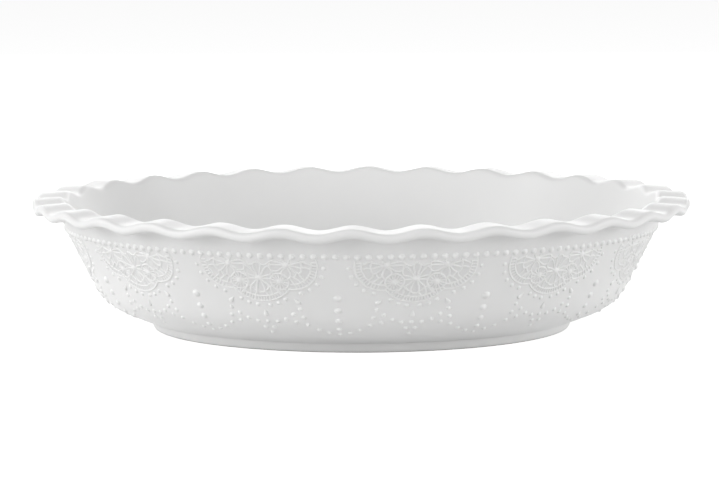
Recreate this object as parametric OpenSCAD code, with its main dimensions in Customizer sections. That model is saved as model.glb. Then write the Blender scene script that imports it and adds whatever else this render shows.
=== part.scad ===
// Fluted pie dish in white glazed ceramic, with bead and lace relief on its wall.
// The dish stands on its foot ring, centred on the origin, with +Z up and its front towards -Y.

/* [Overall] */
// Diameter across the fluted rim
rim_d = 267; // [240:1:300]
// Height from the table to the crests of the flutes
dish_h = 53.7; // [50:0.1:62]
// Thickness of the wall, measured square to its surface
wall_t = 4.6; // [3.6:0.1:5.6]

/* [Rim] */
// Number of flutes around the rim
flutes = 30; // [20:1:36]
// Height of a flute from trough to crest
flute_h = 2.1; // [0.5:0.1:3]
// Turn of the first crest from the front, in degrees
flute_turn = -1.5; // [-6:0.1:6]
// Width of the flange, from the inside of the wall to its outer edge
flange_w = 12.9; // [11:0.1:15]
// Thickness of the flange and of its rounded lip
lip_t = 3.8; // [3:0.1:4.6]
// Droop of the flange towards its outer edge, in degrees
flange_droop = 3; // [0.5:0.5:5]
// Radius of the edge where the wall turns into the flange
throat_round = 3; // [1.5:0.1:4]
// Radius of the fillet below the flange
neck_round = 3.6; // [2:0.1:4.5]
// Depth below the throat's edge over which the flutes fade out on the inside
inner_fade_h = 3.3; // [2:0.1:4]
// Height of the rim piece, from its seam with the wall to the crests
rim_h = 9.7; // [9.2:0.1:10.4]

/* [Base] */
// Diameter of the foot ring at the table
foot_d = 169; // [156:1:174]
// Height of the foot ring
foot_h = 4.1; // [3.6:0.1:5]
// Width of the foot ring at the table
foot_w = 5; // [4:0.1:7]
// How much further out the foot ring reaches at its top
foot_flare = 1.7; // [0.5:0.1:2.5]
// Radius of the edges that the foot ring stands on
foot_round = 0.8; // [0.3:0.1:1.2]
// Radius of the fillet between the foot ring and the underside
foot_cove = 1.2; // [0.4:0.1:2]
// Height of the hollow under the floor, inside the foot ring
recess_h = 3; // [1.5:0.1:3.4]
// Rise of the underside between the foot ring and the heel, in degrees
base_rise = 21.5; // [18:0.5:26]
// Share of the spread from the foot ring to the rim that lies below the wall's line
under_wall_share = 0.2565; // [0.2:0.0005:0.3]
// Outer radius of the heel, where the underside turns up into the wall
heel_round = 21; // [14:0.5:23]
// Radius of the turn inside between the floor and the slope
floor_round = 20; // [8:1:26]

/* [Ornament] */
// Number of bays around the wall, each with a lace medallion
bays = 12; // [10:1:14]
// Turn of the first medallion from the front, in degrees
bay_turn = 10.3; // [-15:0.1:15]
// Beads of the upper course in each bay
course_beads = 15; // [10:1:16]
// Diameter of the beads of the upper course
course_bead_d = 2.6; // [1.6:0.1:2.8]
// Depth of the upper bead course below the crests of the rim
course_drop = 12.5; // [12.2:0.1:14]
// Diameter of the small beads of the borders and swags
small_bead_d = 1.9; // [1:0.1:2.2]
// Diameter of the largest bead between two medallions
drop_bead_d = 3.3; // [2.2:0.1:4]
// Length of a teardrop
tear_l = 3.4; // [2.4:0.1:4]
// How far the lace stands out from the wall
lace_relief = 0.5; // [0.2:0.1:0.9]
// Width of the threads of the lace
thread_w = 0.6; // [0.3:0.05:0.8]

/* [Hidden] */
$fn = 64;
glaze = "#f4f4f2";

// Names of the pieces
function numbered(stem) = [for (i = [1 : bays]) str(stem, "_", i < 10 ? "0" : "", i)];
medallion_names = numbered("lace_medallion");
swag_names = numbered("bead_swag");
column_names = numbered("bead_column");

// Foot ring, and the wall's line from its foot up to the rim
foot_r = foot_d / 2;
foot_top_r = foot_r + foot_flare;
floor_r = foot_r - foot_w;
base_r = foot_top_r + foot_flare;
rim_r = rim_d / 2;
throat_r = rim_r - flange_w;
wall_foot_r = base_r + (throat_r - base_r) * under_wall_share;
wall_slope = (throat_r - wall_foot_r) / (dish_h - flute_h / 2 - foot_h);
wall_lean = atan(wall_slope);
wall_across = wall_t / cos(wall_lean);
droop_slope = tan(flange_droop);
flange_top = dish_h - flute_h / 2 + throat_round * tan((90 - wall_lean - flange_droop) / 2) * droop_slope;
function inner_wall_r(z) = throat_r - (flange_top - z) * wall_slope;
function outer_wall_r(z) = inner_wall_r(z) + wall_across;
seam_z = dish_h - rim_h;

// Underside and heel. A round takes no more than its share of the slope that runs into it
heel_turn = 90 - wall_lean - base_rise;
rise_dir = [cos(base_rise), sin(base_rise)];
rise_out = [sin(base_rise), -cos(base_rise)];
wall_dir = [sin(wall_lean), cos(wall_lean)];
wall_out = [cos(wall_lean), -sin(wall_lean)];
function rise_to(from, wall_r) =
    from + rise_dir * (wall_r - from[0]) / (rise_dir[0] - rise_dir[1] * wall_slope);
base_edge = [base_r, foot_h];
heel = rise_to(base_edge, outer_wall_r(foot_h));
heel_slope_share = 0.6;
floor_slope_share = 0.4;
heel_r = min(heel_round, heel_slope_share * norm(heel - base_edge) / tan(heel_turn / 2));
heel_tangent = heel_r * tan(heel_turn / 2);
heel_top = heel + wall_dir * heel_tangent;
heel_foot = heel - rise_dir * heel_tangent;
heel_centre = heel_top - wall_out * heel_r;
floor_top = foot_h + wall_t * cos(base_rise);
floor_edge = base_edge - rise_out * wall_t;
inner_heel = rise_to(floor_edge, inner_wall_r(floor_top));
floor_turn_r = min(floor_round, floor_slope_share * norm(inner_heel - floor_edge) / tan(base_rise / 2));

// Bead course, and the runs of the wall below it
course_z = dish_h - course_drop;
course_r = outer_wall_r(course_z);
wall_run = (course_z - heel_top[1]) / cos(wall_lean);
heel_run = heel_r * heel_turn * PI / 180;
base_run = norm(heel_foot - base_edge);
relief_run = wall_run + heel_run + base_run;
bay_angle = 360 / bays;
bay_w = 2 * course_r * sin(bay_angle / 2);
bead_sink_share = 0.12;

// What is taken off the corner of an outline to round it to radius r. It reaches out past the corner
function unit(v) = v / norm(v);
module spandrel(a, corner, b, r) {
    u = unit(a - corner);
    v = unit(b - corner);
    half = acos(u * v) / 2;
    difference() {
        polygon([corner - unit(u + v) * r, corner + u * r / tan(half), corner + v * r / tan(half)]);
        translate(corner + unit(u + v) * r / sin(half)) circle(r = r);
    }
}

function arc_at(a, corner, b, r, steps) =
    let (u = unit(a - corner), v = unit(b - corner), half = acos(u * v) / 2,
         centre = corner + unit(u + v) * r / sin(half),
         start = corner + u * r / tan(half) - centre,
         sweep = sign(u[1] * v[0] - u[0] * v[1]) * (180 - 2 * half))
    [for (i = [0 : steps]) let (t = sweep * i / steps)
        centre + [start[0] * cos(t) - start[1] * sin(t), start[0] * sin(t) + start[1] * cos(t)]];

// Foot, floor and wall
module dish_floor() {
    color(glaze) translate([0, 0, recess_h]) cylinder(r = floor_r, h = floor_top - recess_h);
}

// The fillet over the foot ring lies below the flat of the underside, and is no wider than that flat
module foot_ring() {
    corners = [[floor_r, 0], [foot_r, 0], [foot_top_r, foot_h], [floor_r, foot_h]];
    side_angle = 90 + atan(foot_flare / foot_h);
    cove_r = min(foot_cove, foot_flare * tan(side_angle / 2));
    color(glaze) rotate_extrude() {
        difference() {
            polygon(corners);
            spandrel(corners[3], corners[0], corners[1], foot_round);
            spandrel(corners[0], corners[1], corners[2], foot_round);
        }
        intersection() {
            spandrel(corners[1], corners[2], base_edge, cove_r);
            square([base_r, foot_h]);
        }
    }
}

// Half section inside the outer face, from radius r outward and up to height top, with the face moved out
heel_out = (rise_out + wall_out) / (1 + rise_out * wall_out);
module outer_half(r, top, out) {
    low = base_edge + rise_out * out;
    corner = heel + heel_out * out;
    high = [outer_wall_r(top) + out / cos(wall_lean), top];
    difference() {
        polygon([[r, low[1]], low, corner, high, [r, top]]);
        spandrel(low, corner, high, heel_r + out);
    }
}

// Half section of the space inside the dish, which reaches past the seams with the floor and the rim
module inner_half() {
    start = [floor_r - wall_t, floor_top];
    end = [inner_wall_r(dish_h), dish_h];
    difference() {
        polygon([start, floor_edge, inner_heel, end, [start[0], dish_h]]);
        spandrel(floor_edge, inner_heel, end, heel_r - wall_t);
        spandrel(start, floor_edge, inner_heel, floor_turn_r);
    }
}

module dish_wall() {
    color(glaze) rotate_extrude() difference() {
        outer_half(floor_r, seam_z, 0);
        inner_half();
    }
}

// Section of the rim, from the inside of the seam over the flange to the outside of the seam.
// Each point is a radius, a height and its share of the flutes' rise
rim_steps = 8;
throat_steps = 3;
round_steps = 2;
lip_round_share = 0.47;
flute_fade_h = rim_h - lip_t - flute_h;
function flange_z(r, depth) = flange_top - depth - (r - throat_r) * droop_slope;
neck_depth = (lip_t + wall_across * droop_slope) / (1 + wall_slope * droop_slope);
function with_rise(points, share) = [for (p = points) [p[0], p[1], share]];
function with_fade(points) = [for (p = points) [p[0], p[1], min(1, (p[1] - seam_z) / flute_fade_h)]];
function rim_section() =
    let (inner = [inner_wall_r(seam_z), seam_z],
         throat = [throat_r, flange_top],
         lip_top = [rim_r, flange_z(rim_r, 0)],
         lip_foot = [rim_r, flange_z(rim_r, lip_t)],
         neck = [outer_wall_r(flange_top - neck_depth), flange_top - neck_depth],
         outer = [outer_wall_r(seam_z), seam_z],
         edge = arc_at(inner, throat, lip_top, throat_round, throat_steps),
         fade_z = edge[0][1] - inner_fade_h)
    concat(with_rise([inner, [inner_wall_r(fade_z), fade_z]], 0),
           with_rise(edge, 1),
           with_rise(arc_at(throat, lip_top, lip_foot, lip_t * lip_round_share, round_steps), 1),
           with_rise(arc_at(lip_top, lip_foot, neck, lip_t * lip_round_share, round_steps), 1),
           with_fade(concat(arc_at(lip_foot, neck, outer, neck_round, round_steps), [outer])));

module fluted_rim() {
    section = rim_section();
    n = len(section);
    rings = flutes * rim_steps;
    points = [for (i = [0 : rings - 1], p = section)
        let (a = 360 * i / rings, rise = flute_h / 2 * cos(flutes * (a - flute_turn)))
        [p[0] * sin(a), -p[0] * cos(a), p[1] + p[2] * rise]];
    function at(i, j) = (i % rings) * n + j % n;
    faces = [for (i = [0 : rings - 1], j = [0 : n - 1])
        each [[at(i, j), at(i + 1, j), at(i + 1, j + 1)], [at(i, j), at(i + 1, j + 1), at(i, j + 1)]]];
    color(glaze) polyhedron(points, faces, convexity = 8);
}

// Places on the wall: azimuth from the front, and depth below the bead course along the surface
function place_tilt(down) = wall_lean + heel_turn * max(0, min(1, (down - wall_run) / heel_run));
function place_point(down) =
    down <= wall_run ? heel_top + wall_dir * (wall_run - down)
    : down <= wall_run + heel_run
        ? heel_centre + heel_r * [cos(place_tilt(down)), -sin(place_tilt(down))]
        : heel_foot - rise_dir * (down - wall_run - heel_run);

module on_wall(azimuth, down) {
    p = place_point(down);
    rotate([0, 0, azimuth]) translate([0, -p[0], p[1]]) rotate([90 + place_tilt(down), 0, 0]) children();
}

// A bead is a dome, less than half a ball, that rests flat on the wall
module bead(d) {
    rotate_extrude() intersection() {
        translate([0, -d * bead_sink_share]) circle(d = d);
        square(d);
    }
}

// Half a teardrop lying on the wall, with its broad end at the origin and its tip up the wall
module teardrop() {
    r = small_bead_d / 2;
    tip = tear_l - r;
    touch = asin(r / tip);
    rotate([90, 0, 180]) rotate_extrude(angle = 180) intersection() {
        union() {
            circle(r = r);
            polygon([[0, 0], [r * cos(touch), r * sin(touch)], [0, tip]]);
        }
        translate([0, -r]) square([r, tear_l]);
    }
}

module bead_course() {
    count = bays * course_beads;
    color(glaze) for (i = [0 : count - 1])
        on_wall(bay_turn + 360 * (i + 0.5) / count, 0) bead(course_bead_d);
}

// Lace medallion: places and sizes are shares of its width at the bead course
lace_bay_share = 0.77;
lace_run_share = 0.92;
lace_w = min(bay_w * lace_bay_share, relief_run * lace_run_share);
side_lobe_shares = [0.256, 0.065, 0.244];
low_lobe_shares = [0, 0.128, 0.302];
band_share = 0.048;
rung_share = 0.058;
tooth_share = 0.052;
daisy_shares = [0, 0.208, 0.127];
wheel_shares = [0.168, 0.232, 0.062];
spray_shares = [0.25, 0.076, 0.138];
low_rungs = [-46, 46];
side_rungs = [4, 96];
low_zigzag = [-24, 24];
side_zigzag = [14, 94];
low_zigzag_threads = 4;
side_zigzag_threads = 6;
spray_span = [90, 270];
daisy_span = [0, 315];
spray_petals = 5;
daisy_petals = 8;
wheel_spokes = 6;
wheel_sides = 10;
hub_sides = 8;
petal_w_share = 0.42;
petal_belly_share = 0.66;
hub_share = 0.2;
wheel_hub_share = 0.36;

module thread(from, to) {
    along = to - from;
    translate(from) rotate(atan2(along[1], along[0])) translate([0, -thread_w / 2])
        square([norm(along), thread_w]);
}

module lobes(inset) {
    for (side = [-1, 1])
        translate([side * side_lobe_shares[0], -side_lobe_shares[1]] * lace_w)
            circle(r = side_lobe_shares[2] * lace_w - inset);
    translate([0, -low_lobe_shares[1] * lace_w]) circle(r = low_lobe_shares[2] * lace_w - inset);
}

module lobe_line(inset) {
    difference() {
        lobes(inset);
        lobes(inset + thread_w);
    }
}

module rungs(lobe, side, span) {
    first = span[0];
    last = span[1];
    r = lobe[2] * lace_w;
    step = rung_share * lace_w * 180 / PI / r;
    count = floor((last - first) / step);
    centre = [side * lobe[0], -lobe[1]] * lace_w;
    for (i = [0 : count]) {
        a = first + (last - first) * i / count;
        out = [side * sin(a), -cos(a)];
        thread(centre + out * (r - band_share * lace_w - thread_w / 2), centre + out * (r - thread_w / 2));
    }
}

// A zigzag of threads inside the band
module zigzag(lobe, side, span, threads) {
    outer = lobe[2] * lace_w - band_share * lace_w - thread_w / 2;
    function at(i) = let (a = span[0] + (span[1] - span[0]) * i / threads)
        [side * lobe[0], -lobe[1]] * lace_w
        + [side * sin(a), -cos(a)] * (outer - (i % 2 == 0 ? 0 : tooth_share * lace_w));
    for (i = [0 : threads - 1]) thread(at(i), at(i + 1));
}

module petal(length) {
    half_w = length * petal_w_share / 2;
    belly = length * petal_belly_share;
    outline = [[0, 0], [half_w, belly], [0, length], [-half_w, belly]];
    difference() {
        polygon(outline);
        translate([0, thread_w]) scale((length - 2 * thread_w) / length) polygon(outline);
    }
}

module flower(place, side, petals, span) {
    r = place[2] * lace_w;
    translate([side * place[0], -place[1]] * lace_w) {
        for (i = [0 : petals - 1]) rotate(span[0] + (span[1] - span[0]) * i / (petals - 1)) petal(r);
        circle(r = r * hub_share, $fn = hub_sides);
    }
}

module wheel(side) {
    r = wheel_shares[2] * lace_w;
    translate([side * wheel_shares[0], -wheel_shares[1]] * lace_w) {
        difference() {
            circle(r = r, $fn = wheel_sides);
            circle(r = r - thread_w, $fn = wheel_sides);
        }
        for (i = [0 : wheel_spokes / 2 - 1])
            rotate(360 / wheel_spokes * i) square([2 * r - thread_w, thread_w], center = true);
        circle(r = r * wheel_hub_share, $fn = hub_sides);
    }
}

module lace_pattern() {
    lobe_line(0);
    lobe_line(band_share * lace_w);
    rungs(low_lobe_shares, 1, low_rungs);
    zigzag(low_lobe_shares, 1, low_zigzag, low_zigzag_threads);
    for (side = [-1, 1]) {
        rungs(side_lobe_shares, side, side_rungs);
        zigzag(side_lobe_shares, side, side_zigzag, side_zigzag_threads);
        wheel(side);
        flower(spray_shares, side, spray_petals, spray_span);
    }
    flower(daisy_shares, 1, daisy_petals, daisy_span);
}

module lace_medallion(index) {
    azimuth = bay_turn + bay_angle * (index - 1);
    depth = (low_lobe_shares[1] + low_lobe_shares[2]) * lace_w;
    turn = max(0, depth - wall_run) / heel_r * 180 / PI;
    half_w = lace_w / 2 + lace_relief;
    sag = course_r - sqrt(course_r * course_r - half_w * half_w) + heel_r * (1 - cos(turn));
    low = place_point(depth + lace_relief)[1];
    color(glaze) intersection() {
        on_wall(azimuth, 0) translate([0, 0, -sag - lace_relief]) linear_extrude(sag + 3 * lace_relief)
            difference() {
                lace_pattern();
                translate([-lace_w, -course_bead_d / 2 - thread_w / 4]) square([2 * lace_w, lace_w]);
            }
        rotate_extrude() intersection() {
            difference() {
                outer_half(floor_r, course_z, lace_relief);
                outer_half(floor_r - wall_t, dish_h, 0);
            }
            translate([floor_r, low]) square([rim_r - floor_r, dish_h]);
        }
    }
}

// Swags and borders: shares of half a bay across, and of the relief's whole run down
border_gap_share = 0.042;
string_shares = [[0.49, 0.464], [0.525, 0.537], [0.565, 0.614], [0.71, 0.67], [0.85, 0.71]];
festoon_shares = [[0.387, 0.512], [0.273, 0.557], [0.143, 0.583], [0.413, 0.586], [0.067, 0.648]];
middle_shares = [0.583, 0.721];
tear_shares = [0.475, 0.405];
low_tear_share = 0.515;
tear_turn = 42;
column_shares = [0.366, 0.474, 0.569, 0.66, 0.74];
side_border = [8, 25, 42, 59, 76];
low_border = [9, 21.5, 34];

module border_bead(lobe, side, a) {
    r = (lobe[2] + border_gap_share) * lace_w;
    x = side * (lobe[0] * lace_w + r * sin(a));
    down = lobe[1] * lace_w + r * cos(a);
    on_wall(asin(x / place_point(down)[0]), down) bead(small_bead_d);
}

module bead_swag(index) {
    half_bay = bay_angle / 2;
    color(glaze) rotate([0, 0, bay_turn + bay_angle * (index - 1)]) {
        for (side = [-1, 1]) {
            for (a = side_border) border_bead(side_lobe_shares, side, 90 - a);
            for (a = low_border) border_bead(low_lobe_shares, side, a);
            for (p = concat(string_shares, festoon_shares))
                on_wall(side * p[0] * half_bay, p[1] * relief_run) bead(small_bead_d);
            on_wall(side * tear_shares[0] * half_bay, tear_shares[1] * relief_run)
                rotate([0, 0, side * tear_turn]) teardrop();
        }
        for (p = middle_shares) on_wall(0, p * relief_run) bead(small_bead_d);
        on_wall(0, low_tear_share * relief_run) teardrop();
    }
}

module bead_column(index) {
    last = len(column_shares) - 1;
    color(glaze) for (i = [0 : last])
        on_wall(bay_turn + bay_angle * (index - 0.5), column_shares[i] * relief_run)
            bead(drop_bead_d + (small_bead_d - drop_bead_d) * i / last);
}

dish_floor();
foot_ring();
dish_wall();
fluted_rim();
bead_course();
for (i = [1 : bays]) {
    lace_medallion(i);
    bead_swag(i);
    bead_column(i);
}
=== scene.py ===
"""Looks of the fluted pie dish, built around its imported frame.

Sizes of the dish are in millimetres until a mesh is made, and those of the stage are in metres.
Azimuth 0 is the front, towards -Y, and it grows towards +X.
"""
import math

import bpy
import numpy as np
from mathutils import Matrix, Vector


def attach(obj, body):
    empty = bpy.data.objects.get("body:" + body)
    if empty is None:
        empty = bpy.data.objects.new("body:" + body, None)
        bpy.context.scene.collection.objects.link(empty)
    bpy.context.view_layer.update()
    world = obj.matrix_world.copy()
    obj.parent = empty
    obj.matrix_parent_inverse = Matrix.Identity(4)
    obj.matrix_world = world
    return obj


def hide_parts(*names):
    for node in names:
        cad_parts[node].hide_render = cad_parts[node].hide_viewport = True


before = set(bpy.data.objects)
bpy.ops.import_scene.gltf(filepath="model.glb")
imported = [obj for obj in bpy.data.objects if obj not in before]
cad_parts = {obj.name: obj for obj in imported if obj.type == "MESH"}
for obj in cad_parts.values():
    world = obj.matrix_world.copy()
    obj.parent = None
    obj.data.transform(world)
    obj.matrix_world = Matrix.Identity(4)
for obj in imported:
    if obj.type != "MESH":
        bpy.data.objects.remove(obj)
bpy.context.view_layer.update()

MM = 0.001

# Sizes of the dish, as in the part's source
RIM_R = 133.5
DISH_H = 53.7
WALL_T = 4.6
FLUTES = 30
FLUTE_H = 2.1
FLUTE_TURN = -1.5
FLANGE_W = 12.9
LIP_T = 3.8
FLANGE_DROOP = 3.0
THROAT_ROUND = 3.0
NECK_ROUND = 3.6
RIM_H = 9.7
LIP_ROUND = 0.47
FOOT_R = 84.5
FOOT_H = 4.1
FOOT_W = 5.0
FOOT_FLARE = 1.7
FOOT_ROUND = 0.8
FOOT_COVE = 1.2
RECESS_H = 3.0
BASE_RISE = 21.5
UNDER_WALL_SHARE = 0.2565
HEEL_ROUND = 21.0
FLOOR_ROUND = 20.0
BAYS = 12
BAY_TURN = 10.3
COURSE_BEADS = 15
COURSE_BEAD_D = 2.6
COURSE_DROP = 12.5
SMALL_BEAD_D = 1.9
DROP_BEAD_D = 3.3
TEAR_L = 3.4

# Height of the foot's bare clay, dark as a painted contact shadow, and its lap into the wall above, and the
# cove round the recess inside it
BARE_SHADOW_H = 0.3
FOOT_LAP = 0.3
RECESS_COVE = 1.1

# How deep the relief is let into the wall
ROOT = 0.25

# Steps of the turned forms
DISC_STEPS = 240
DISC_RINGS = (20, 40, 60)
DISC_HUB_R = 0.02
FOOT_STEPS = 360
WALL_STEPS = 480
STEPS_PER_FLUTE = 24

# What follows from the sizes
FOOT_TOP_R = FOOT_R + FOOT_FLARE
FLOOR_R = FOOT_R - FOOT_W
BASE_R = FOOT_TOP_R + FOOT_FLARE
THROAT_R = RIM_R - FLANGE_W
WALL_FOOT_R = BASE_R + (THROAT_R - BASE_R) * UNDER_WALL_SHARE
WALL_SLOPE = (THROAT_R - WALL_FOOT_R) / (DISH_H - FLUTE_H / 2 - FOOT_H)
LEAN = math.atan(WALL_SLOPE)
WALL_ACROSS = WALL_T / math.cos(LEAN)
DROOP = math.radians(FLANGE_DROOP)
DROOP_SLOPE = math.tan(DROOP)
THROAT_TANGENT = THROAT_ROUND * math.tan((math.pi / 2 - LEAN - DROOP) / 2)
FLANGE_TOP = DISH_H - FLUTE_H / 2 + THROAT_TANGENT * DROOP_SLOPE
SEAM_Z = DISH_H - RIM_H
RISE = math.radians(BASE_RISE)
HEEL_TURN = math.pi / 2 - LEAN - RISE
RISE_DIR = np.array([math.cos(RISE), math.sin(RISE)])
RISE_OUT = np.array([math.sin(RISE), -math.cos(RISE)])
WALL_DIR = np.array([math.sin(LEAN), math.cos(LEAN)])
WALL_OUT = np.array([math.cos(LEAN), -math.sin(LEAN)])


def inner_wall_r(z):
    return THROAT_R - (FLANGE_TOP - z) * WALL_SLOPE


def outer_wall_r(z):
    return inner_wall_r(z) + WALL_ACROSS


def rise_to(start, wall_r):
    """Where the underside's rise from a point meets a wall of the given radius at the point's height."""
    return start + RISE_DIR * (wall_r - start[0]) / (RISE_DIR[0] - RISE_DIR[1] * WALL_SLOPE)


BASE_EDGE = np.array([BASE_R, FOOT_H])
HEEL = rise_to(BASE_EDGE, outer_wall_r(FOOT_H))
HEEL_TANGENT = HEEL_ROUND * math.tan(HEEL_TURN / 2)
HEEL_TOP = HEEL + WALL_DIR * HEEL_TANGENT
HEEL_FOOT = HEEL - RISE_DIR * HEEL_TANGENT
HEEL_CENTRE = HEEL_TOP - WALL_OUT * HEEL_ROUND
FLOOR_TOP = FOOT_H + WALL_T * math.cos(RISE)
FLOOR_EDGE = BASE_EDGE - RISE_OUT * WALL_T
INNER_HEEL = rise_to(FLOOR_EDGE, inner_wall_r(FLOOR_TOP))
COURSE_Z = DISH_H - COURSE_DROP
COURSE_R = outer_wall_r(COURSE_Z)
WALL_RUN = (COURSE_Z - HEEL_TOP[1]) / math.cos(LEAN)
HEEL_RUN = HEEL_ROUND * HEEL_TURN
BASE_RUN = float(np.linalg.norm(HEEL_FOOT - BASE_EDGE))
RELIEF_RUN = WALL_RUN + HEEL_RUN + BASE_RUN
BAY = 2 * math.pi / BAYS
TURN = math.radians(BAY_TURN)


# Outlines of the half section
def unit(v):
    return v / np.linalg.norm(v)


def arc_at(a, corner, b, radius, steps):
    """Points of the arc that rounds a corner, from the side of a to the side of b."""
    a, corner, b = (np.asarray(p, float) for p in (a, corner, b))
    u, v = unit(a - corner), unit(b - corner)
    half = math.acos(float(np.clip(u @ v, -1, 1))) / 2
    centre = corner + unit(u + v) * radius / math.sin(half)
    start = corner + u * radius / math.tan(half) - centre
    sweep = np.sign(u[1] * v[0] - u[0] * v[1]) * (math.pi - 2 * half)
    out = []
    for t in np.linspace(0, sweep, steps + 1):
        out.append(centre + [start[0] * math.cos(t) - start[1] * math.sin(t),
                             start[0] * math.sin(t) + start[1] * math.cos(t)])
    return out


def along(a, b, steps):
    """Points between a and b, without the ends."""
    a, b = np.asarray(a, float), np.asarray(b, float)
    return [a + (b - a) * t for t in np.linspace(0, 1, steps + 1)[1:-1]]


# Meshes
def make_mesh(name, points, faces, *materials):
    """A smooth mesh from points in millimetres."""
    mesh = bpy.data.meshes.new(name)
    mesh.from_pydata((np.asarray(points, float) * MM).tolist(), [], faces)
    mesh.validate()
    mesh.polygons.foreach_set("use_smooth", [True] * len(mesh.polygons))
    mesh.update()
    for material in materials:
        mesh.materials.append(material)
    return mesh


def add_piece(name, mesh, node, turn=0.0):
    """Puts a mesh in the scene as the piece that stands for a CAD node."""
    piece = bpy.data.objects.new(name, mesh)
    bpy.context.scene.collection.objects.link(piece)
    piece.rotation_euler = (0, 0, turn)
    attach(piece, "root")
    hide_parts(node)


def sharpen(mesh, count, corners):
    """Marks the rings of a turned mesh at the given section points as sharp, so that seams shade apart."""
    ends = np.zeros(len(mesh.edges) * 2, int)
    mesh.edges.foreach_get("vertices", ends)
    ends = ends.reshape(-1, 2) % count
    sharp = (ends[:, 0] == ends[:, 1]) & np.isin(ends[:, 0], list(corners))
    layer = mesh.attributes.new("sharp_edge", "BOOLEAN", "EDGE")
    layer.data.foreach_set("value", sharp)
    mesh.update()


def turned_faces(steps, count, edges):
    """Faces between the turned copies of a section of count points, for its first edges."""
    faces = []
    for i in range(steps):
        here, there = i * count, (i + 1) % steps * count
        for j in range(edges):
            k = (j + 1) % count
            faces.append((here + j, there + j, there + k, here + k))
    return faces


def revolve(name, section, steps, corners, materials, shift=None):
    """A closed section turned round the axis. corners are the points where the surface has a sharp edge."""
    section = np.asarray(section, float)
    count = len(section)
    azimuth = (np.arange(steps) * 2 * math.pi / steps)[:, None]
    r, z = np.repeat(section[None, :, 0], steps, 0), np.repeat(section[None, :, 1], steps, 0)
    if shift is not None:
        r, z = shift(r, z, azimuth)
    points = np.stack([r * np.sin(azimuth), -r * np.cos(azimuth), z], -1).reshape(-1, 3)
    mesh = make_mesh(name, points, turned_faces(steps, count, count), *materials)
    sharpen(mesh, count, corners)
    return mesh


def disc(name, rings, steps, corners, material):
    """A closed body that reaches the axis at its first and last ring, both of them flat there."""
    section = [(DISC_HUB_R, rings[0][1])] + list(rings) + [(DISC_HUB_R, rings[-1][1])]
    count = len(section)
    turn = np.arange(steps) * 2 * math.pi / steps
    points = [(r * math.sin(a), -r * math.cos(a), z) for a in turn for r, z in section]
    faces = turned_faces(steps, count, count - 1)
    faces.append(tuple(i * count for i in reversed(range(steps))))
    faces.append(tuple(i * count + count - 1 for i in range(steps)))
    mesh = make_mesh(name, points, faces, material)
    sharpen(mesh, count, corners)
    return mesh


# Materials
def start_material(name):
    """A new material with its shader, and the place on the object that its textures read."""
    material = bpy.data.materials.new(name)
    material.use_nodes = True
    tree = material.node_tree
    return material, tree, tree.nodes["Principled BSDF"], tree.nodes.new("ShaderNodeTexCoord")


def add_node(tree, kind, values):
    """A new node with the given values in its inputs."""
    node = tree.nodes.new(kind)
    for name, value in values.items():
        node.inputs[name].default_value = value
    return node


def add_noise(tree, place, scale, detail, roughness=0.5):
    """A noise over the object's own places."""
    noise = add_node(tree, "ShaderNodeTexNoise", {"Scale": scale, "Detail": detail, "Roughness": roughness})
    tree.links.new(place.outputs["Object"], noise.inputs["Vector"])
    return noise


def add_ramp(tree, noise, low, high):
    """Colours of a noise, from (position, colour) to (position, colour)."""
    ramp = tree.nodes.new("ShaderNodeValToRGB")
    for element, (position, colour) in zip(ramp.color_ramp.elements, (low, high)):
        element.position = position
        element.color = (*colour, 1)
    tree.links.new(noise.outputs["Fac"], ramp.inputs["Fac"])
    return ramp


def add_bump(tree, noise, shader, strength, distance):
    """Fine relief of the skin, too small for the mesh."""
    bump = add_node(tree, "ShaderNodeBump", {"Strength": strength, "Distance": distance})
    tree.links.new(noise.outputs["Fac"], bump.inputs["Height"])
    tree.links.new(bump.outputs["Normal"], shader.inputs["Normal"])


GLAZE_IOR = 1.5
GLAZE_SPECULAR = 0.35
CLOUD_SHADE = (0.975, 0.975, 0.97)
CLEAR_SHADE = (1.0, 1.0, 0.995)
# Reach and samples of the darkening in hollows, partly glaze pooling and partly painted shade
HOLLOW_SHADE_REACH = 0.0014
HOLLOW_SHADE_SAMPLES = 8
GLOSS_SPREAD = (0.75, 1.3)
# Tones of the bare clay, dark as a painted contact shadow, with real grain between them
SHADOW_CLAY_DARK = (0.34, 0.33, 0.31)
SHADOW_CLAY_PALE = (0.46, 0.45, 0.43)
CLAY_ROUGHNESS = 0.85


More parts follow.
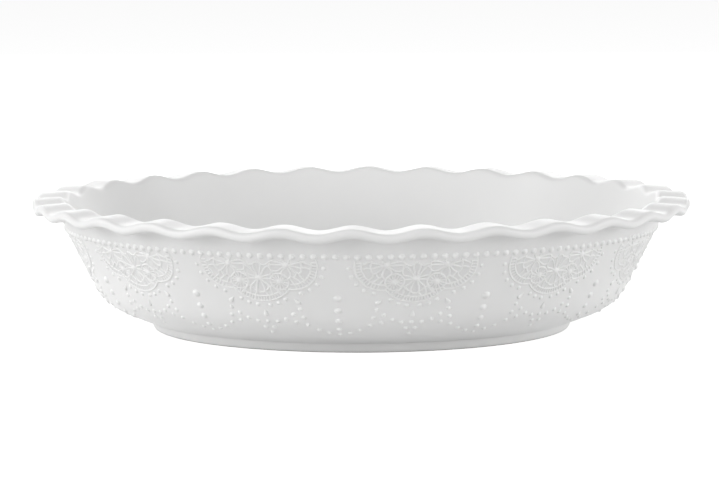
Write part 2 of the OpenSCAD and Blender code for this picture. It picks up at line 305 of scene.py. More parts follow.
def glaze_material(name, shade, gloss, peel, hollow_pool_and_shade):
    """White glaze: faint clouding in its colour, a soft uneven gloss, and hollows darkened by ambient
    occlusion, partly slight glaze pooling and partly painted shade.
    """
    material, tree, shader, place = start_material(name)
    shader.inputs["IOR"].default_value = GLAZE_IOR
    shader.inputs["Specular IOR Level"].default_value = GLAZE_SPECULAR

    cloud = add_noise(tree, place, scale=22, detail=4, roughness=0.55)
    cloudy, clear = [shade * c for c in CLOUD_SHADE], [shade * c for c in CLEAR_SHADE]
    tone = add_ramp(tree, cloud, (0.3, cloudy), (0.7, clear))
    # Painted shade, with some glaze pooling: the colour darkens where the surface is hemmed in, round beads,
    # threads and creases
    hollow = add_node(tree, "ShaderNodeAmbientOcclusion", {"Distance": HOLLOW_SHADE_REACH})
    hollow.samples = HOLLOW_SHADE_SAMPLES
    pool_and_shade = add_node(tree, "ShaderNodeMapRange",
                    {"From Min": 0.3, "From Max": 0.92, "To Min": hollow_pool_and_shade, "To Max": 1.0})
    tree.links.new(hollow.outputs["AO"], pool_and_shade.inputs["Value"])
    mixed = tree.nodes.new("ShaderNodeMix")
    mixed.data_type = "RGBA"
    mixed.blend_type = "MULTIPLY"
    mixed.inputs["Factor"].default_value = 1
    tree.links.new(tone.outputs["Color"], mixed.inputs["A"])
    tree.links.new(pool_and_shade.outputs["Result"], mixed.inputs["B"])
    tree.links.new(mixed.outputs["Result"], shader.inputs["Base Color"])

    wear = add_noise(tree, place, scale=60, detail=5)
    rough = add_node(tree, "ShaderNodeMapRange",
                     {"To Min": gloss * GLOSS_SPREAD[0], "To Max": gloss * GLOSS_SPREAD[1]})
    tree.links.new(wear.outputs["Fac"], rough.inputs["Value"])
    tree.links.new(rough.outputs["Result"], shader.inputs["Roughness"])

    skin = add_noise(tree, place, scale=120, detail=2)
    add_bump(tree, skin, shader, strength=peel, distance=0.0002)
    return material


def bisque_material():
    """Bare fired clay under the foot ring, where the glaze was wiped off, made dark to stand as a painted
    contact shadow.
    """
    material, tree, shader, place = start_material("bare_foot_clay_and_shadow")
    shader.inputs["Roughness"].default_value = CLAY_ROUGHNESS
    grain = add_noise(tree, place, scale=900, detail=6)
    tone = add_ramp(tree, grain, (0.0, SHADOW_CLAY_DARK), (1.0, SHADOW_CLAY_PALE))
    tree.links.new(tone.outputs["Color"], shader.inputs["Base Color"])
    add_bump(tree, grain, shader, strength=0.4, distance=0.0001)
    return material


# One white glaze in copies of different shade: the lace threads, beads and bead course are lighter than the
# wall as painted light, and the beads get less painted shade in their hollows
glaze = glaze_material("white_glaze", shade=0.80, gloss=0.36, peel=0.1, hollow_pool_and_shade=0.82)
relief_lit_glaze = glaze_material("relief_lit_white_glaze", shade=0.84, gloss=0.36, peel=0.06, hollow_pool_and_shade=0.86)
# Darker glaze for the cells between the lace's threads: painted shade, with some glaze pooling
pooled_shade_glaze = glaze_material("pooled_shaded_white_glaze", shade=0.745, gloss=0.32, peel=0.06, hollow_pool_and_shade=0.84)
bead_lit_glaze = glaze_material("bead_lit_white_glaze", shade=0.82, gloss=0.36, peel=0.06, hollow_pool_and_shade=0.94)
course_lit_glaze = glaze_material("course_lit_white_glaze", shade=0.87, gloss=0.36, peel=0.06, hollow_pool_and_shade=0.86)
bisque_and_shadow = bisque_material()


# Body of the dish
def floor_mesh():
    """Floor disc, with a soft cove below where it meets the foot ring."""
    below = arc_at((0, RECESS_H), (FLOOR_R, RECESS_H), (FLOOR_R, 0), RECESS_COVE, steps=6)
    rings = [(r, FLOOR_TOP) for r in (*DISC_RINGS, FLOOR_R)]
    rings += [(FLOOR_R, below[-1][1])] + [tuple(p) for p in reversed(below[:-1])]
    rings += [(r, RECESS_H) for r in reversed(DISC_RINGS)]
    edge = len(DISC_RINGS) + 1
    return disc("floor_disc", rings, DISC_STEPS, (edge, edge + 1), glaze)


def foot_mesh():
    """Foot ring with a rounded foot, bare below in dark clay that is a painted contact shadow, and a cove that
    runs out into the underside.
    """
    low_in = arc_at((FLOOR_R, FOOT_H), (FLOOR_R, 0), (FOOT_R, 0), FOOT_ROUND, steps=5)
    low_out = arc_at((FLOOR_R, 0), (FOOT_R, 0), (FOOT_TOP_R, FOOT_H), FOOT_ROUND, steps=5)
    cove = arc_at((FOOT_R, 0), (FOOT_TOP_R, FOOT_H), BASE_EDGE + [FOOT_COVE, 0], FOOT_COVE, steps=10)
    section = low_in + low_out + cove + [cove[-1] + [0, FOOT_LAP], np.array([FLOOR_R, FOOT_H + FOOT_LAP])]
    last = len(section) - 1
    mesh = revolve("foot_ring_shell", section, FOOT_STEPS, (last, last - 1, last - 2), (glaze, bisque_and_shadow))
    # Faces at the bottom take the dark bare clay: painted contact shadow
    for face in mesh.polygons:
        face.material_index = 1 if face.center.z < BARE_SHADOW_H * MM else 0
    return mesh


def wall_mesh():
    """Shell from the floor round the heel to the seam below the rim."""
    outer_top = np.array([outer_wall_r(SEAM_Z), SEAM_Z])
    inner_top = np.array([inner_wall_r(SEAM_Z), SEAM_Z])
    floor_seam = np.array([FLOOR_R, FLOOR_TOP])
    heel = arc_at(BASE_EDGE, HEEL, outer_top, HEEL_ROUND, steps=18)
    hollow = arc_at(inner_top, INNER_HEEL, FLOOR_EDGE, HEEL_ROUND - WALL_T, steps=16)
    bend = arc_at(INNER_HEEL, FLOOR_EDGE, floor_seam, FLOOR_ROUND, steps=8)
    section = [np.array([FLOOR_R, FOOT_H]), BASE_EDGE]
    section += along(BASE_EDGE, heel[0], steps=5) + heel + along(heel[-1], outer_top, steps=8)
    section += [outer_top, inner_top]
    rim_seam = len(section) - 2
    section += along(inner_top, hollow[0], steps=8) + hollow
    section += along(hollow[-1], bend[0], steps=4) + bend + [floor_seam]
    seams = (0, 1, rim_seam, rim_seam + 1, len(section) - 1)
    return revolve("wall_shell", section, WALL_STEPS, seams, (glaze,))


def rim_mesh():
    """Near-level flange with a rounded lip. Its flutes fade into the plain wall inside and at the neck."""
    def flange_z(r, depth):
        return FLANGE_TOP - depth - (r - THROAT_R) * DROOP_SLOPE

    neck_depth = (LIP_T + WALL_ACROSS * DROOP_SLOPE) / (1 + WALL_SLOPE * DROOP_SLOPE)
    inner = np.array([inner_wall_r(SEAM_Z), SEAM_Z])
    throat = np.array([THROAT_R, FLANGE_TOP])
    lip_top = np.array([RIM_R, flange_z(RIM_R, 0)])
    lip_foot = np.array([RIM_R, flange_z(RIM_R, LIP_T)])
    neck = np.array([outer_wall_r(FLANGE_TOP - neck_depth), FLANGE_TOP - neck_depth])
    outer = np.array([outer_wall_r(SEAM_Z), SEAM_Z])
    throat_arc = arc_at(inner, throat, lip_top, THROAT_ROUND, steps=10)
    lip_arc = arc_at(throat, lip_top, lip_foot, LIP_T * LIP_ROUND, steps=9)
    foot_arc = arc_at(lip_top, lip_foot, neck, LIP_T * LIP_ROUND, steps=9)
    neck_arc = arc_at(lip_foot, neck, outer, NECK_ROUND, steps=8)
    section = [inner] + along(inner, throat_arc[0], steps=6) + throat_arc
    section += along(throat_arc[-1], lip_arc[0], steps=5) + lip_arc
    section += along(lip_arc[-1], foot_arc[0], steps=2) + foot_arc
    section += along(foot_arc[-1], neck_arc[0], steps=3) + neck_arc
    section += along(neck_arc[-1], outer, steps=5) + [outer]

    def flutes(r, z, azimuth):
        """Lifts the rim's points by the flutes. They slide on the wall's cones, which stay plain below."""
        full_z = np.where(r < inner_wall_r(z) + WALL_T / 2, throat_arc[0][1], neck_arc[-1][1])
        fade = np.clip((z - SEAM_Z) / (full_z - SEAM_Z), 0, 1)
        fade = fade * fade * (3 - 2 * fade)
        rise = FLUTE_H / 2 * fade * np.cos(FLUTES * (azimuth - math.radians(FLUTE_TURN)))
        on_wall = np.clip((RIM_R - r) / (FLANGE_W - THROAT_ROUND), 0, 1)
        return r + rise * WALL_SLOPE * on_wall, z + rise

    seams = (0, len(section) - 1)
    return revolve("fluted_rim_shell", section, FLUTES * STEPS_PER_FLUTE, seams, (glaze,), flutes)


add_piece("dish_floor_piece", floor_mesh(), "dish_floor")
add_piece("foot_ring_piece", foot_mesh(), "foot_ring")
add_piece("dish_wall_piece", wall_mesh(), "dish_wall")
add_piece("fluted_rim_piece", rim_mesh(), "fluted_rim")


# Places on the outside of the wall. down is the depth below the bead course, measured along the surface.
def surface(down):
    """Radius, height and tilt of the surface at a depth."""
    down = np.asarray(down, float)
    bend = np.clip((down - WALL_RUN) / HEEL_RUN, 0, 1)
    tilt = LEAN + HEEL_TURN * bend
    on_wall = HEEL_TOP + WALL_DIR * (WALL_RUN - np.minimum(down, WALL_RUN))[..., None]
    on_heel = HEEL_CENTRE + HEEL_ROUND * np.stack([np.cos(tilt), -np.sin(tilt)], -1)
    on_base = HEEL_FOOT - RISE_DIR * np.maximum(down - WALL_RUN - HEEL_RUN, 0)[..., None]
    place = np.where((down <= WALL_RUN)[..., None], on_wall,
                     np.where((down <= WALL_RUN + HEEL_RUN)[..., None], on_heel, on_base))
    return place[..., 0], place[..., 1], tilt


def lifted(azimuth, down, height):
    """Points at a height above the surface."""
    r, z, tilt = surface(down)
    r = r + np.cos(tilt) * height
    z = z - np.sin(tilt) * height
    return np.stack([r * np.sin(azimuth), -r * np.cos(azimuth), z], -1)


def frame_at(azimuth, down):
    """Origin, rightward, upward and outward directions of the surface at a place."""
    r, z, tilt = surface(down)
    out = np.array([math.sin(azimuth), -math.cos(azimuth), 0.0])
    right = np.array([math.cos(azimuth), math.sin(azimuth), 0.0])
    up = out * math.sin(tilt) + np.array([0, 0, math.cos(tilt)])
    normal = out * math.cos(tilt) - np.array([0, 0, math.sin(tilt)])
    origin = np.array([r * math.sin(azimuth), -r * math.cos(azimuth), z])
    return origin, right, up, normal


# Beads and teardrops. A bead is a sunk dome with a skirt of glaze: sink, dome and skirt are shares of its
# diameter, SKIRT_RUN are shares of the skirt's width, and the dip is in millimetres.
BEAD_SINK = 0.12
BEAD_W_SHARE = 0.92
DOME_FOOT = 0.1
DOME_RINGS = 6
SKIRT_W = 0.1
SKIRT_RUN = (0.35, 0.7, 1.0)
SKIRT_FALL = 1.8
SKIRT_DIP = 0.02
SKIRT_FOOT_SHARE = 0.96
TEAR_TAPER = 1.35
TEAR_RINGS = 12
TEAR_STEPS = 14

# Shares of their height that the small beads and the teardrops keep under the glaze
SWAG_SOFTNESS = 0.82
COLUMN_SOFTNESS = 0.78
TEAR_SOFTNESS = 0.72


def bead_profile(d, softness):
    """Dome of a bead and the small skirt of glaze at its foot, as radius and height. softness lowers it."""
    d = d * BEAD_W_SHARE
    radius = d / 2
    centre = -d * BEAD_SINK
    lowest = math.asin((DOME_FOOT * d - centre) / radius)
    dome = [(radius * math.cos(t), (centre + radius * math.sin(t)) * softness)
            for t in np.linspace(math.pi / 2, lowest, DOME_RINGS)]
    skirt_r = radius * math.cos(math.asin(-centre / radius)) + SKIRT_W * d
    dome_r, dome_h = dome[-1]
    skirt = [(dome_r + (skirt_r - dome_r) * t, dome_h * (1 - t) ** SKIRT_FALL - SKIRT_DIP) for t in SKIRT_RUN]
    return dome + skirt + [(skirt_r * SKIRT_FOOT_SHARE, -ROOT)]


def ring_faces(first, steps, rings):
    """Faces between rings of points that follow each other from the point first."""
    faces = []
    for j in range(rings - 1):
        for k in range(steps):
            a, b, k2 = first + j * steps, first + (j + 1) * steps, (k + 1) % steps
            faces.append((a + k, b + k, b + k2, a + k2))
    return faces


def bead_cluster(places, steps, softness=1.0):
    """Beads as one mesh. places are (azimuth, down, diameter)."""
    points, faces = [], []
    for azimuth, down, d in places:
        origin, right, up, normal = frame_at(azimuth, down)
        tip = len(points)
        (_, top), *rings = bead_profile(d, softness)
        points.append(origin + normal * top)
        for r, h in rings:
            for k in range(steps):
                t = 2 * math.pi * k / steps
                points.append(origin + right * (r * math.cos(t)) + up * (r * math.sin(t)) + normal * h)
        faces += [(tip, tip + 1 + k, tip + 1 + (k + 1) % steps) for k in range(steps)]
        faces += ring_faces(tip + 1, steps, len(rings))
        last = tip + 1 + (len(rings) - 1) * steps
        faces.append(tuple(last + k for k in reversed(range(steps))))
    return points, faces


def teardrop(azimuth, down, turn):
    """A teardrop that lies half sunk in the wall, its tip up the wall and turned by an angle."""
    origin, right, up, normal = frame_at(azimuth, down)
    axis = up * math.cos(turn) - right * math.sin(turn)
    side = right * math.cos(turn) + up * math.sin(turn)
    radius = SMALL_BEAD_D / 2
    point = TEAR_L - radius
    points = [origin - axis * radius]
    for i in range(1, TEAR_RINGS):
        x = -radius + TEAR_L * (i / TEAR_RINGS)
        if x < 0:
            w = radius * math.sqrt(max(1 - (x / radius) ** 2, 0))
        else:
            w = radius * (1 - (x / point) ** TEAR_TAPER)
        for k in range(TEAR_STEPS):
            t = 2 * math.pi * k / TEAR_STEPS
            points.append(origin + axis * x + side * (w * math.cos(t))
                          + normal * (w * math.sin(t) * TEAR_SOFTNESS))
    points.append(origin + axis * point)
    faces = [(0, 1 + (k + 1) % TEAR_STEPS, 1 + k) for k in range(TEAR_STEPS)]
    faces += [(a, d, c, b) for a, b, c, d in ring_faces(1, TEAR_STEPS, TEAR_RINGS - 1)]
    last = 1 + (TEAR_RINGS - 2) * TEAR_STEPS
    faces += [(last + k, last + (k + 1) % TEAR_STEPS, len(points) - 1) for k in range(TEAR_STEPS)]
    return points, faces


def joined(name, parts, material):
    """One mesh of several (points, faces)."""
    points, faces = [], []
    for part_points, part_faces in parts:
        base = len(points)
        points += list(part_points)
        faces += [tuple(base + i for i in face) for face in part_faces]
    return make_mesh(name, points, faces, material)


# Relief. Lobes, as (right, down, radius), and the gap are shares of the lace's width at the bead course.
# Places of beads, as (right, down), are shares of half a bay and of the relief's run, and those of borders are
# angles on their lobe.
LACE_BAY_SHARE = 0.77
LACE_RUN_SHARE = 0.92
LACE_W = min(2 * COURSE_R * math.sin(BAY / 2) * LACE_BAY_SHARE, RELIEF_RUN * LACE_RUN_SHARE)
SIDE_LOBE = (0.256, 0.068, 0.249)
LOW_LOBE = (0.0, 0.128, 0.302)
BORDER_GAP = 0.042
STRING = [(0.49, 0.464), (0.525, 0.537), (0.565, 0.614), (0.71, 0.67), (0.85, 0.71)]
FESTOON = [(0.387, 0.512), (0.273, 0.557), (0.143, 0.583), (0.413, 0.586), (0.067, 0.648)]
MIDDLE = (0.583, 0.721)
TEAR = (0.475, 0.405)
LOW_TEAR = 0.515
TEAR_TURN = math.radians(42)
COLUMN = (0.366, 0.474, 0.569, 0.66, 0.74)
SIDE_BORDER = (8, 25, 42, 59, 76)
LOW_BORDER = (9, 21.5, 34)
COURSE_BEAD_STEPS = 20
SWAG_BEAD_STEPS = 16
COLUMN_BEAD_STEPS = 20


def course_mesh():
    """The whole row of beads under the rim."""
    count = BAYS * COURSE_BEADS
    places = [(TURN + 2 * math.pi * (i + 0.5) / count, 0.0, COURSE_BEAD_D) for i in range(count)]
    # Its glaze is lighter than the wall's: painted light on beads that sit in the rim's shade
    return joined("bead_course_beads", [bead_cluster(places, COURSE_BEAD_STEPS)], course_lit_glaze)


def border_place(lobe, side, angle):
    """A bead that follows a lobe's edge, by its angle from straight down."""
    r = (lobe[2] + BORDER_GAP) * LACE_W
    x = side * (lobe[0] * LACE_W + r * math.sin(math.radians(angle)))
    down = lobe[1] * LACE_W + r * math.cos(math.radians(angle))
    return math.asin(x / float(surface(down)[0])), down, SMALL_BEAD_D


def swag_mesh():
    """Border beads, strings, festoons and teardrops of one bay, with its middle at azimuth 0."""
    places, tears = [], []
    for side in (-1, 1):
        places += [border_place(SIDE_LOBE, side, 90 - a) for a in SIDE_BORDER]
        places += [border_place(LOW_LOBE, side, a) for a in LOW_BORDER]
        places += [(side * p[0] * BAY / 2, p[1] * RELIEF_RUN, SMALL_BEAD_D) for p in STRING + FESTOON]
        tears.append(teardrop(side * TEAR[0] * BAY / 2, TEAR[1] * RELIEF_RUN, side * TEAR_TURN))
    places += [(0.0, p * RELIEF_RUN, SMALL_BEAD_D) for p in MIDDLE]
    tears.append(teardrop(0.0, LOW_TEAR * RELIEF_RUN, 0.0))
    beads = bead_cluster(places, SWAG_BEAD_STEPS, SWAG_SOFTNESS)
    # Beads and teardrops in a lighter copy of the glaze, painted light
    return joined("bead_swag_beads", [beads] + tears, bead_lit_glaze)


def column_mesh():
    """Beads of falling size between two bays, at azimuth 0."""
    last = len(COLUMN) - 1
    places = [(0.0, down * RELIEF_RUN, DROP_BEAD_D + (SMALL_BEAD_D - DROP_BEAD_D) * i / last)
              for i, down in enumerate(COLUMN)]
    beads = bead_cluster(places, COLUMN_BEAD_STEPS, COLUMN_SOFTNESS)
    # Beads in a lighter copy of the glaze, painted light
    return joined("bead_column_beads", [beads], bead_lit_glaze)


# Lace: threads of the right half, in millimetres right and down from the middle of the bead course, and
# the half widths of the kinds of thread
THREAD = 0.4
THREAD_H = 0.4
EDGE_THREAD = THREAD * 1.2
RUNG_THREAD = THREAD * 0.85
SPOKE_THREAD = THREAD * 0.75
SIDE_BAND = 2.35
LOW_BAND = SIDE_BAND * 0.93
# Angles on the lobes: where their two edges start and end, and where rungs cross the band between these
SIDE_EDGE = (97, -4)
SIDE_INNER_EDGE = (92, -1)
SIDE_RUNGS = np.arange(93, 6, -7.4)
LOW_EDGE = (0, 51)
LOW_INNER_EDGE = (0, 36)
LOW_RUNGS = np.arange(2.6, 38, 5.2)
WHEEL = (8.1, 11.3)
WHEEL_R = 3.65
WHEEL_HUB_R = 1.2
WHEEL_SPOKES = 14
WHEEL_STUBS = [
    [(8.3, 14.9), (8.9, 16.9)],
    [(9.7, 14.6), (10.4, 15.9)],
    [(10.7, 13.9), (11.6, 14.7)],
]
WHEEL_THREADS = [
    [(4.6, 12.2), (5.6, 13.9), (7.2, 15.6), (8.6, 17.2)],
]
DAISY_THREADS = [
    [(0.45, 9.2), (0.75, 7.4), (1.25, 5.2), (1.32, 3.9), (0.9, 3.0), (0, 2.75)],
    [(0.8, 9.1), (1.7, 7.4), (2.9, 5.6), (4.1, 4.5), (5.2, 5.3), (5.5, 6.8), (4.8, 8.3), (3.0, 8.75),
     (1.1, 9.45)],
    [(1.1, 10.1), (3.0, 10.2), (4.6, 10.3)],
    [(0.9, 10.6), (2.1, 12.0), (3.6, 13.5), (2.9, 14.9), (1.75, 15.5)],
    [(0.5, 10.7), (1.2, 12.6), (1.6, 14.3), (1.5, 15.6), (0.8, 16.3), (0, 16.45)],
    [(1.5, 15.9), (2.1, 16.8), (2.8, 17.7)],
    [(3.6, 13.5), (4.2, 15.0), (4.4, 17.4)],
    [(3.6, 13.5), (5.0, 13.6), (6.4, 15.3), (7.6, 16.6)],
    [(1.32, 3.6), (3.1, 3.9), (5.0, 2.9)],
    [(4.1, 4.5), (5.0, 3.8), (5.2, 3.3)],
]
SPRAY_THREADS = [
    [(11.2, 3.3), (9, 2.6), (6.2, 2.15), (5.0, 2.9), (5.5, 3.7), (8, 3.75), (11.0, 3.8)],
    [(11.1, 4.3), (9.4, 5.6), (7.6, 6.6), (6.1, 6.5), (5.3, 5.6), (5.3, 3.6)],
    [(11.4, 4.8), (10.2, 5.8), (9.55, 7.2), (9.9, 8.4), (11.3, 9.6)],
    [(12.2, 4.9), (12.7, 6.2), (13.0, 7.6), (12.9, 8.8), (11.9, 9.9)],
    [(12.9, 4.6), (13.8, 5.9), (15.0, 6.9), (16.3, 7.5), (17.2, 6.7), (17.7, 5.2)],
    [(13.0, 3.7), (14.6, 3.3), (16.2, 2.8), (17.5, 2.5)],
    [(13.0, 4.0), (15.2, 4.5), (17.6, 5.2)],
    [(17.4, 1.8), (17.8, 3.3), (17.7, 5.0)],
    [(12.5, 3.2), (13.3, 1.8)],
    [(11.5, 3.1), (10.7, 1.8)],
    [(17.5, 1.9), (19.3, 2.7), (21.0, 3.5)],
    [(17.7, 5.0), (19.0, 4.9), (20.6, 5.4)],
    [(16.3, 7.5), (16.6, 8.9), (17.9, 10.2)],
    [(12.9, 8.7), (14.1, 9.5), (15.9, 10.9), (16.4, 11.6)],
    [(14.1, 9.5), (15.0, 8.3), (15.5, 7.3)],
    [(12.0, 10.0), (12.9, 11.0), (13.4, 12.2)],
]
# Raised middles of the wheel, daisy and spray, as (right, down, radius, height)
HUBS = [(*WHEEL, 1.55, 0.66), (0.4, 9.8, 1.35, 0.7), (11.6, 3.8, 1.5, 0.7)]
# How full the section of a thread and a hub is: the lower, the fuller
THREAD_BELL = 1.5
HUB_BELL = 0.9
SPLINE_STEP = 0.25
ARC_STEP = 3
RING_POINTS = 61
TINY = 1e-9

# Grid of the lace. A point below FREE_H is bare, and a cell with a corner above CELL_H holds lace.
PITCH = 0.2
LACE_MARGIN = 1.2
LACE_TOP = COURSE_BEAD_D * 0.45
LACE_SINK = 0.05
FREE_H = 0.02
CELL_H = 0.015
# Glaze that has pooled between the threads: its height, and the mean height below which a cell shows it in a
# darker glaze, painted shade with some pooling
POOL_H = 0.085
POOL_SHADE_H = POOL_H + 0.03
CELL_CORNERS = ((0, 0), (0, 1), (1, 0), (1, 1))
# Sides of a cell: its neighbour in the padded grid, and the two corners that it shares with it
CELL_SIDES = (
    ((0, 1), (0, 0), (0, 1)),
    ((2, 1), (1, 1), (1, 0)),
    ((1, 0), (1, 0), (0, 0)),
    ((1, 2), (0, 1), (1, 1)),
)


def spline(points):
    """A smooth line through the given points."""
    p = np.asarray(points, float)
    if len(p) < 3:
        return p
    ends = np.vstack([2 * p[0] - p[1], p, 2 * p[-1] - p[-2]])
    out = []
    for i in range(len(p) - 1):
        a, b, c, d = ends[i:i + 4]
        n = max(2, int(np.linalg.norm(c - b) / SPLINE_STEP))
        t = np.linspace(0, 1, n, endpoint=False)[:, None]
        out.append(0.5 * (2 * b + (c - a) * t + (2 * a - 5 * b + 4 * c - d) * t ** 2
                          + (3 * b - a - 3 * c + d) * t ** 3))
    return np.vstack(out + [p[-1:]])


def lobe_arc(lobe, inset, first, last):
    """Arc of a lobe, by angles from straight down towards the right."""
    r = lobe[2] * LACE_W - inset
    t = np.radians(np.linspace(first, last, max(3, int(abs(last - first) / ARC_STEP))))
    return np.stack([lobe[0] * LACE_W + r * np.sin(t), lobe[1] * LACE_W + r * np.cos(t)], -1)


def rungs(lobe, band, angles):
    """Threads across the band of a lobe."""
    return [(np.array([lobe_arc(lobe, inset, a, a)[0] for inset in (0, band)]), RUNG_THREAD) for a in angles]


def wheel_lines():
    """A ring with spokes, and short threads from it to the edge."""
    centre = np.array(WHEEL)
    ring = np.radians(np.linspace(0, 360, RING_POINTS))
    lines = [(centre + WHEEL_R * np.stack([np.cos(ring), np.sin(ring)], -1), THREAD)]
    for k in range(WHEEL_SPOKES):
        t = 2 * math.pi * (k + 0.5) / WHEEL_SPOKES
        out = np.array([math.cos(t), math.sin(t)])
        lines.append((np.array([centre + WHEEL_HUB_R * out, centre + WHEEL_R * out]), SPOKE_THREAD))
    return lines + [(np.array(stub), RUNG_THREAD) for stub in WHEEL_STUBS]


def lace_lines():
    """Threads of the whole lace, as (points, half width)."""
    right = [
        (lobe_arc(SIDE_LOBE, 0, *SIDE_EDGE), EDGE_THREAD),
        (lobe_arc(SIDE_LOBE, SIDE_BAND, *SIDE_INNER_EDGE), THREAD),
        (lobe_arc(LOW_LOBE, 0, *LOW_EDGE), EDGE_THREAD),
        (lobe_arc(LOW_LOBE, LOW_BAND, *LOW_INNER_EDGE), THREAD),
    ]
    right += rungs(SIDE_LOBE, SIDE_BAND, SIDE_RUNGS) + rungs(LOW_LOBE, LOW_BAND, LOW_RUNGS) + wheel_lines()
    right += [(spline(points), THREAD) for points in WHEEL_THREADS + DAISY_THREADS + SPRAY_THREADS]
    return right + [(points * [-1, 1], width) for points, width in right]


def draw_line(height, x, d, points, width):
    """Raises the grid to a rounded thread along a line."""
    for p, q in zip(points[:-1], points[1:]):
        low, high = np.minimum(p, q) - width, np.maximum(p, q) + width
        i0, i1 = np.searchsorted(x, [low[0], high[0]])
        j0, j1 = np.searchsorted(d, [low[1], high[1]])
        if i0 >= i1 or j0 >= j1:
            continue
        gx, gd = np.meshgrid(x[i0:i1], d[j0:j1])
        run = q - p
        t = np.clip(((gx - p[0]) * run[0] + (gd - p[1]) * run[1]) / max(run @ run, TINY), 0, 1)
        away = np.hypot(gx - p[0] - t * run[0], gd - p[1] - t * run[1]) / width
        bell = THREAD_H * np.clip(1 - away ** 2, 0, 1) ** THREAD_BELL
        height[j0:j1, i0:i1] = np.maximum(height[j0:j1, i0:i1], bell)


def outside(height):
    """Where the grid is free of lace and open to its edge."""
    free = height < FREE_H
    outer = free.copy()
    outer[1:-1, 1:-1] = False
    spread = 0
    while outer.sum() > spread:
        spread = outer.sum()
        near = np.pad(outer, 1)
        outer = free & (outer | near[:-2, 1:-1] | near[2:, 1:-1] | near[1:-1, :-2] | near[1:-1, 2:])
    return outer


def lace_height():
    """Height of the lace over a grid that covers it, with the grid's right and down places."""
    half = LACE_W / 2 + LACE_MARGIN
    x = np.arange(-half, half + PITCH, PITCH)
    d = np.arange(LACE_TOP, (LOW_LOBE[1] + LOW_LOBE[2]) * LACE_W + LACE_MARGIN, PITCH)
    height = np.zeros((len(d), len(x)))
    for points, width in lace_lines():
        draw_line(height, x, d, points, width)
    gx, gd = np.meshgrid(x, d)
    for side in (-1, 1):
        for right, down, r, h in HUBS:
            away = np.hypot(gx - side * right, gd - down) / r
            height = np.maximum(height, h * np.clip(1 - away ** 2, 0, 1) ** HUB_BELL)
    return x, d, np.where(outside(height), height, np.maximum(height, POOL_H))


def lace_cells(height):
    """Cells of the grid that hold lace. Where two meet at a corner alone, a third joins them."""
    cell = np.maximum.reduce([height[:-1, :-1], height[1:, :-1], height[:-1, 1:], height[1:, 1:]]) > CELL_H
    changed = True
    while changed:
        a, b, c, e = cell[:-1, :-1], cell[:-1, 1:], cell[1:, :-1], cell[1:, 1:]
        falling = a & e & ~b & ~c
        rising = b & c & ~a & ~e
        changed = bool(falling.any() or rising.any())
        cell[:-1, 1:] |= falling
        cell[:-1, :-1] |= rising
    return cell


def lace_mesh():
    """Lace of one bay: threads on a film of glaze, its middle at azimuth 0 and its back sunk in the wall."""
    x, d, height = lace_height()
    cell = lace_cells(height)
    rows, cols = np.nonzero(cell)
    used = np.zeros(height.shape, bool)
    for dj, di in CELL_CORNERS:
        used[rows + dj, cols + di] = True
    index = np.full(height.shape, -1)
    index[used] = np.arange(used.sum())
    gx, gd = np.meshgrid(x, d)
    gx, gd, lift = gx[used], gd[used], height[used] - LACE_SINK
    azimuth = gx / surface(gd)[0]
    count = len(gx)
    points = np.vstack([lifted(azimuth, gd, lift), lifted(azimuth, gd, np.full(count, -ROOT))])
    top = np.stack([index[rows, cols], index[rows + 1, cols],
                    index[rows + 1, cols + 1], index[rows, cols + 1]], -1)
    faces = top.tolist() + (top[:, ::-1] + count).tolist()
    padded = np.pad(cell, 1)
    for j, i in zip(rows, cols):
        for (nj, ni), (pj, pi), (qj, qi) in CELL_SIDES:
            if not padded[j + nj, i + ni]:
                p, q = int(index[j + pj, i + pi]), int(index[j + qj, i + qi])
                faces.append((p, q, q + count, p + count))
    mesh = make_mesh("lace_net", points, faces, relief_lit_glaze, pooled_shade_glaze)
    # Low cells between threads take the darker glaze, painted shade; the threads take the lighter glaze,
    # painted light
    pooled_shade_cells = np.mean([height[rows + dj, cols + di] for dj, di in CELL_CORNERS], 0) < POOL_SHADE_H
    others = len(faces) - len(pooled_shade_cells)
    mesh.polygons.foreach_set("material_index", pooled_shade_cells.astype(int).tolist() + [0] * others)
    return mesh


add_piece("bead_course_piece", course_mesh(), "bead_course")
lace, swag, column = lace_mesh(), swag_mesh(), column_mesh()
for bay in range(BAYS):
    number = f"{bay + 1:02d}"
    middle = TURN + BAY * bay
    add_piece("lace_net_" + number, lace, "lace_medallion_" + number, middle)
    add_piece("swag_beads_" + number, swag, "bead_swag_" + number, middle)
    add_piece("column_beads_" + number, column, "bead_column_" + number, middle - BAY / 2)


# Stage, in metres and watts
FLOOR_HALF = 6.0
FLOOR_SHADE = 0.8
FLOOR_GLOW = 0.7
WORLD_LEVEL = 0.295
SEEN_LEVEL = 1.0
LAMP_AIM = (0, 0, 0.03)
# Name, place, width and height, and power of each lamp
LAMPS = [
    ("back_box", (0.0, 1.6, 0.6), (1.8, 0.4), 6.3),
    ("left_box", (-1.4, -0.35, 0.75), (1.0, 1.0), 11.8),
    ("right_box", (1.5, -0.25, 0.7), (0.9, 0.9), 7.3),
    ("right_low_box", (1.5, -0.4, 0.32), (0.9, 0.6), 2.1),
    ("low_front_box", (0.0, -1.9, 0.3), (1.4, 0.5), 2.2),
    ("left_front_box", (-1.3, -1.2, 0.38), (0.8, 0.8), 8.3),
    ("right_front_box", (1.4, -1.1, 0.33), (0.8, 0.7), 5.8),
]


def ray_is(tree, kinds):
    """1 for light rays of the given kinds, and 0 for others."""
    path = tree.nodes.new("ShaderNodeLightPath")
    found = path.outputs[kinds[0]]
    for kind in kinds[1:]:
        either = tree.nodes.new("ShaderNodeMath")
        either.operation = "MAXIMUM"
        tree.links.new(found, either.inputs[0])
        tree.links.new(path.outputs[kind], either.inputs[1])
        found = either.outputs[0]
    return found


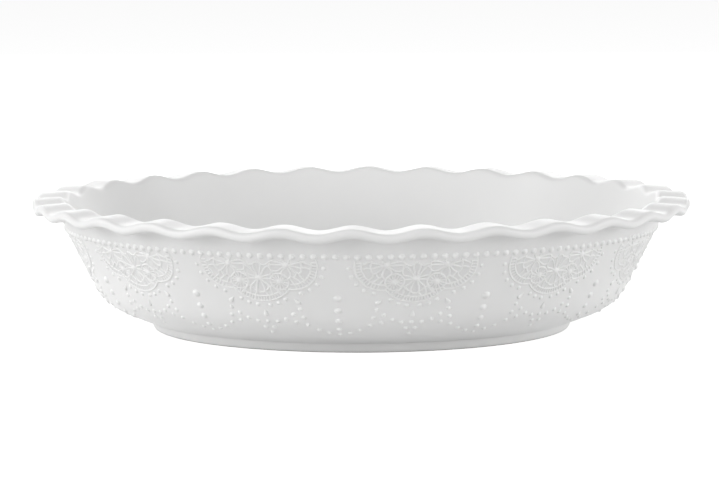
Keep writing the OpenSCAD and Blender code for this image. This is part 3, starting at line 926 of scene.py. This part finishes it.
def add_floor():
    """Pale floor that keeps the dish's shadow and shows white to the camera and in reflections."""
    mesh = bpy.data.meshes.new("floor_plane")
    corners = [(x * FLOOR_HALF, y * FLOOR_HALF, 0) for x, y in ((-1, -1), (1, -1), (1, 1), (-1, 1))]
    mesh.from_pydata(corners, [], [(0, 1, 2, 3)])
    floor = bpy.data.objects.new("floor", mesh)
    bpy.context.scene.collection.objects.link(floor)
    material = bpy.data.materials.new("pale_floor")
    material.use_nodes = True
    tree = material.node_tree
    tree.nodes.clear()
    level = tree.nodes.new("ShaderNodeMath")
    level.operation = "MULTIPLY"
    level.inputs[1].default_value = FLOOR_GLOW
    tree.links.new(ray_is(tree, ("Is Camera Ray", "Is Glossy Ray")), level.inputs[0])
    glow = tree.nodes.new("ShaderNodeEmission")
    tree.links.new(level.outputs[0], glow.inputs["Strength"])
    diffuse = add_node(tree, "ShaderNodeBsdfDiffuse", {"Color": (FLOOR_SHADE, FLOOR_SHADE, FLOOR_SHADE, 1)})
    both = tree.nodes.new("ShaderNodeAddShader")
    tree.links.new(diffuse.outputs[0], both.inputs[0])
    tree.links.new(glow.outputs[0], both.inputs[1])
    out = tree.nodes.new("ShaderNodeOutputMaterial")
    tree.links.new(both.outputs[0], out.inputs["Surface"])
    mesh.materials.append(material)


def set_world():
    """Soft even light, with a plain white background to the camera, in reflections and through glass."""
    world = bpy.data.worlds.new("studio")
    bpy.context.scene.world = world
    world.use_nodes = True
    tree = world.node_tree
    tree.nodes.clear()
    white = (1, 1, 1, 1)
    light = add_node(tree, "ShaderNodeBackground", {"Color": white, "Strength": WORLD_LEVEL})
    shown = add_node(tree, "ShaderNodeBackground", {"Color": white, "Strength": SEEN_LEVEL})
    mix = tree.nodes.new("ShaderNodeMixShader")
    seen = ray_is(tree, ("Is Camera Ray", "Is Glossy Ray", "Is Transmission Ray"))
    tree.links.new(seen, mix.inputs["Fac"])
    tree.links.new(light.outputs[0], mix.inputs[1])
    tree.links.new(shown.outputs[0], mix.inputs[2])
    out = tree.nodes.new("ShaderNodeOutputWorld")
    tree.links.new(mix.outputs[0], out.inputs["Surface"])


def add_lamp(name, place, size, power):
    """A soft box that points at the dish."""
    data = bpy.data.lights.new(name, "AREA")
    data.shape = "RECTANGLE"
    data.size, data.size_y = size
    data.energy = power
    lamp = bpy.data.objects.new(name, data)
    bpy.context.scene.collection.objects.link(lamp)
    lamp.location = place
    lamp.rotation_euler = (Vector(LAMP_AIM) - Vector(place)).to_track_quat("-Z", "Y").to_euler()


add_floor()
set_world()
for lamp in LAMPS:
    add_lamp(*lamp)


# Camera, as fitted to the dish's outline in the photograph. AXIS_PX is the target's place in the picture.
PHOTO_W_PX = 719.0
PHOTO_H_PX = 478.0
AXIS_PX = (361.4, 264.8)
FOCAL_PX = 3900.0
CAMERA_DISTANCE = 1.591
CAMERA_ELEVATION = math.radians(6.61)
CAMERA_ROLL = math.radians(0.2)
TARGET = Vector((0, 0, 0.0245))
SENSOR_W = 36.0
CLIP_RANGE = (0.05, 40.0)


def add_camera():
    """Looks past the target by what AXIS_PX is off the picture's centre, so that no shift is needed."""
    back = Vector((0, -math.cos(CAMERA_ELEVATION), math.sin(CAMERA_ELEVATION)))
    level_right = Vector((1, 0, 0))
    level_up = Vector((0, math.sin(CAMERA_ELEVATION), math.cos(CAMERA_ELEVATION)))
    up = level_up * math.cos(CAMERA_ROLL) + level_right * math.sin(CAMERA_ROLL)
    right = level_right * math.cos(CAMERA_ROLL) - level_up * math.sin(CAMERA_ROLL)
    aside = (AXIS_PX[0] - PHOTO_W_PX / 2) / FOCAL_PX
    above = (PHOTO_H_PX / 2 - AXIS_PX[1]) / FOCAL_PX
    aim = (-back - right * aside - up * above).normalized()
    right = (right - aim * right.dot(aim)).normalized()
    up = right.cross(aim)
    data = bpy.data.cameras.new("camera")
    data.sensor_width = SENSOR_W
    data.lens = SENSOR_W * FOCAL_PX / PHOTO_W_PX
    data.clip_start, data.clip_end = CLIP_RANGE
    camera = bpy.data.objects.new("camera", data)
    bpy.context.scene.collection.objects.link(camera)
    turn = Matrix((right, up, -aim)).transposed().to_4x4()
    camera.matrix_world = Matrix.Translation(TARGET + back * CAMERA_DISTANCE) @ turn
    bpy.context.scene.camera = camera


add_camera()
bpy.context.scene.view_settings.view_transform = "Standard"
